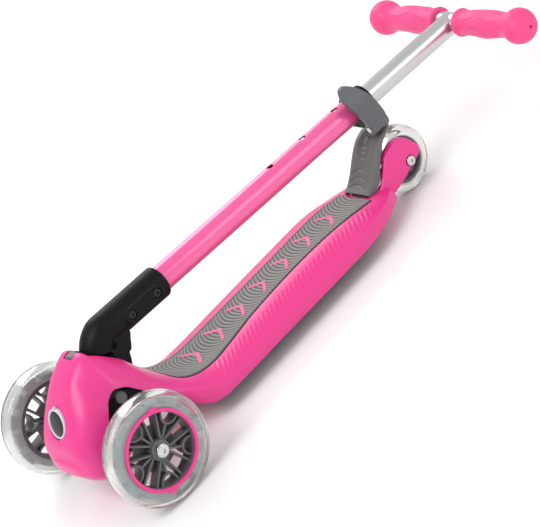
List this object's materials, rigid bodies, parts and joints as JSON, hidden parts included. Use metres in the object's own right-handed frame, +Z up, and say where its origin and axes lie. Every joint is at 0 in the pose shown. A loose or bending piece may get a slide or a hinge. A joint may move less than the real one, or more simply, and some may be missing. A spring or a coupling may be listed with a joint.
{
  "type": "kick scooter",
  "caption": "Folding three-wheel kick scooter for children, shown folded, with a height-adjustable T-bar, lean steering, a steering lock and a heel brake.",
  "frame": {"origin": "centre of the folded scooter's box, on the ground under its three wheels", "axes": "+Z up, -Y to the front of the scooter, +Y to the rear wheel and the folded handlebar, +X to the rider's left"},
  "size_m": [0.276, 0.6846, 0.1624],
  "materials": {
    "pink_moulding": "glass-filled nylon moulding, satin gloss with a fine moulded grain",
    "pink_paint": "powder-coated aluminium tube, smooth gloss",
    "pink_grip": "soft moulded grip rubber, low sheen with raised waves",
    "black_moulding": "black glass-filled nylon, fine texture",
    "brake_grey": "dark grey moulded plastic, soft grain",
    "lever_grey": "mid grey moulded plastic, satin",
    "hub_grey": "mid grey moulded plastic, satin",
    "mat_grey": "grey rubber mat with fine curved ribs",
    "core_white": "greyish white moulded core with lugs",
    "clear_tyre": "clear cast polyurethane, polished",
    "silver_tube": "anodised aluminium, finely brushed along its length",
    "steel": "zinc-plated steel, turned",
    "spring_steel": "oiled spring steel",
    "bezel_grey": "pale grey moulded ring"
  },
  "bodies": {
    "deck": {"deck_body": "pink_moulding", "under_cover": "black_moulding", "deck_mat": "mat_grey", "cover_screw_1": "steel", "cover_screw_2": "steel", "steering_housing": "black_moulding", "spring_cap_left": "brake_grey", "spring_cap_right": "brake_grey", "steering_spring_left": "spring_steel", "steering_spring_right": "spring_steel", "hinge_bracket": "black_moulding", "fold_pin": "steel", "fold_spring": "spring_steel", "lock_bezel": "bezel_grey", "lock_spring": "spring_steel", "kingpin": "steel", "rear_axle_bolt": "steel", "rear_axle_nut": "steel", "brake_pin": "steel", "brake_spring": "spring_steel"},
    "truck": {"truck_body": "black_moulding", "axle_bolt_left": "steel", "axle_bolt_right": "steel"},
    "wheel_left": {"tyre_left": "clear_tyre", "tyre_core_left": "core_white", "hub_left": "hub_grey", "hub_ring_left": "pink_moulding", "bearing_left_inner": "steel", "bearing_left_outer": "steel", "spacer_left": "steel"},
    "wheel_right": {"tyre_right": "clear_tyre", "tyre_core_right": "core_white", "hub_right": "hub_grey", "hub_ring_right": "pink_moulding", "bearing_right_inner": "steel", "bearing_right_outer": "steel", "spacer_right": "steel"},
    "wheel_rear": {"tyre_rear": "clear_tyre", "hub_rear": "hub_grey", "bearing_rear_left": "steel", "bearing_rear_right": "steel"},
    "column": {"column_base": "black_moulding", "column_screw_1": "black_moulding", "column_screw_2": "black_moulding", "lower_tube": "pink_paint", "clamp_collar": "black_moulding", "clamp_bolt": "steel", "lever_pin": "steel"},
    "lever": {"clamp_lever": "lever_grey"},
    "tbar": {"upper_tube": "silver_tube", "tube_plug": "black_moulding", "cross_tube": "silver_tube", "grip_left": "pink_grip", "grip_right": "pink_grip"},
    "snap": {"snap_button": "steel"},
    "fold_key": {"fold_button": "brake_grey"},
    "lock_key": {"lock_button": "black_moulding"},
    "brake": {"brake_fender": "brake_grey"}
  },
  "joints": [
    {"name": "fold", "type": "hinge", "parent": "deck", "child": "column", "pos_m": [0, -0.21181, 0.119], "axis": [1, 0, 0], "range_deg": [0, 80]},
    {"name": "height", "type": "slide", "parent": "column", "child": "tbar", "axis": [0, 0.9979, -0.0649], "range_m": [-0.05, 0.05]},
    {"name": "clamp", "type": "hinge", "parent": "column", "child": "lever", "pos_m": [0.0206, 0.16803, 0.09652], "axis": [0, 0.9979, -0.0649], "range_deg": [0, 110]},
    {"name": "snap_pop", "type": "slide", "parent": "tbar", "child": "snap", "axis": [0, 0.0649, 0.9979], "range_m": [0, 0.002], "stiffness_N_per_m": 300},
    {"name": "fold_press", "type": "slide", "parent": "deck", "child": "fold_key", "axis": [0, 0, -1], "range_m": [0, 0.004], "stiffness_N_per_m": 400},
    {"name": "lock_press", "type": "slide", "parent": "deck", "child": "lock_key", "axis": [0, 0.891, -0.454], "range_m": [0, 0.004], "stiffness_N_per_m": 400},
    {"name": "steer", "type": "hinge", "parent": "deck", "child": "truck", "pos_m": [0, -0.28181, 0.0605], "axis": [0, -0.5976, 0.8018], "range_deg": [-14, 14], "stiffness_Nm_per_rad": 15},
    {"name": "spin_left", "type": "hinge", "parent": "truck", "child": "wheel_left", "pos_m": [0.10325, -0.28181, 0.0605], "axis": [1, 0, 0], "continuous": true},
    {"name": "spin_right", "type": "hinge", "parent": "truck", "child": "wheel_right", "pos_m": [-0.10325, -0.28181, 0.0605], "axis": [1, 0, 0], "continuous": true},
    {"name": "spin_rear", "type": "hinge", "parent": "deck", "child": "wheel_rear", "pos_m": [0, 0.17459, 0.0383], "axis": [1, 0, 0], "continuous": true},
    {"name": "brake_press", "type": "hinge", "parent": "deck", "child": "brake", "pos_m": [0, 0.11719, 0.033], "axis": [-1, 0, 0], "range_deg": [0, 2.5], "stiffness_Nm_per_rad": 25}
  ]
}
